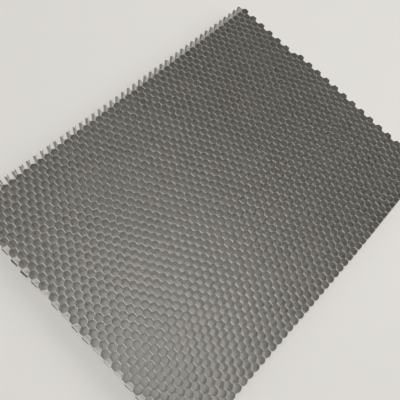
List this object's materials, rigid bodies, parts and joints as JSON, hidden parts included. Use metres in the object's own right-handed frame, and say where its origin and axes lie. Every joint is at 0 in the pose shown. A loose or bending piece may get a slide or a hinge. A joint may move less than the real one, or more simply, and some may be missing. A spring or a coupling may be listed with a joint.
{
  "type": "aluminium honeycomb core panel",
  "caption": "Open honeycomb core panel of corrugated aluminium foil ribbons glued at their flats, for sandwich panels, flow straightening or light control.",
  "frame": {"origin": "middle of the panel's box, on the lower cut face", "axes": "+X along the ribbons, +Y across them, the way the core was pulled open, +Z along the cells"},
  "size_m": [0.1498, 0.1974, 0.01],
  "materials": {
    "foil": "mill foil"
  },
  "bodies": {
    "root": {"ribbon_pair_01": "foil", "ribbon_pair_02": "foil", "ribbon_pair_03": "foil", "ribbon_pair_04": "foil", "ribbon_pair_05": "foil", "ribbon_pair_06": "foil", "ribbon_pair_07": "foil", "ribbon_pair_08": "foil", "ribbon_pair_09": "foil", "ribbon_pair_10": "foil", "ribbon_pair_11": "foil", "ribbon_pair_12": "foil", "ribbon_pair_13": "foil", "ribbon_pair_14": "foil", "ribbon_pair_15": "foil", "ribbon_pair_16": "foil", "ribbon_pair_17": "foil", "ribbon_pair_18": "foil", "ribbon_pair_19": "foil", "ribbon_pair_20": "foil", "ribbon_pair_21": "foil", "ribbon_pair_22": "foil", "ribbon_pair_23": "foil", "ribbon_pair_24": "foil", "ribbon_pair_25": "foil", "ribbon_pair_26": "foil", "ribbon_pair_27": "foil", "ribbon_pair_28": "foil", "ribbon_pair_29": "foil", "ribbon_pair_30": "foil", "ribbon_pair_31": "foil", "ribbon_pair_32": "foil", "ribbon_pair_33": "foil", "ribbon_pair_34": "foil", "ribbon_pair_35": "foil", "ribbon_pair_36": "foil", "ribbon_pair_37": "foil", "ribbon_pair_38": "foil", "ribbon_pair_39": "foil", "ribbon_pair_40": "foil", "ribbon_pair_41": "foil", "ribbon_pair_42": "foil", "ribbon_pair_43": "foil", "ribbon_pair_44": "foil", "ribbon_pair_45": "foil", "ribbon_pair_46": "foil", "ribbon_pair_47": "foil", "torn_top_ribbon": "foil", "ripped_bottom_ribbon": "foil"}
  },
  "joints": []
}
